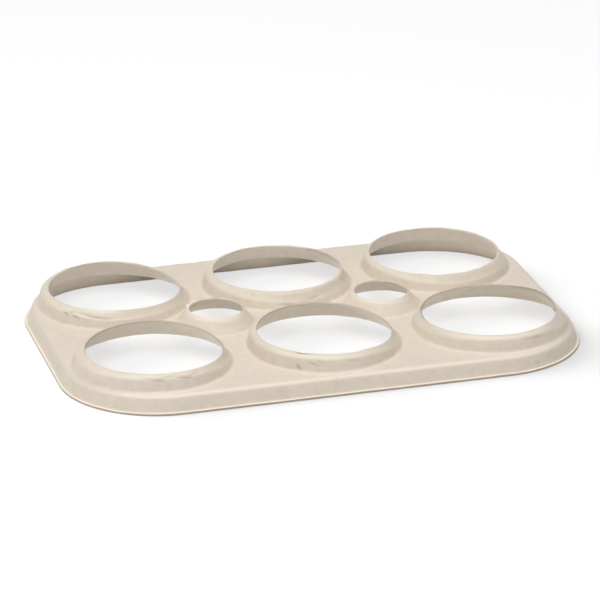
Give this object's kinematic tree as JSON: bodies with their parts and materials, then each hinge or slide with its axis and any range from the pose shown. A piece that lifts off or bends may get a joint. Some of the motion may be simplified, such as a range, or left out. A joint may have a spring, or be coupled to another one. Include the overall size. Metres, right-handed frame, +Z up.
{
  "type": "can carrier",
  "caption": "Pressed-fibre can carrier: a thin rectangular sheet with raised collars that clip over can necks, round finger holes between them and a flared skirt.",
  "frame": {"origin": "centre of the foot, on the plane that the carrier rests on", "axes": "+X along the length, +Y across the width, +Z up through the openings"},
  "size_m": [0.207, 0.14, 0.0132],
  "materials": {
    "fibre": "matte pressed plant fibre, fine mottling"
  },
  "bodies": {
    "root": {"can_carrier": "fibre"}
  },
  "joints": []
}
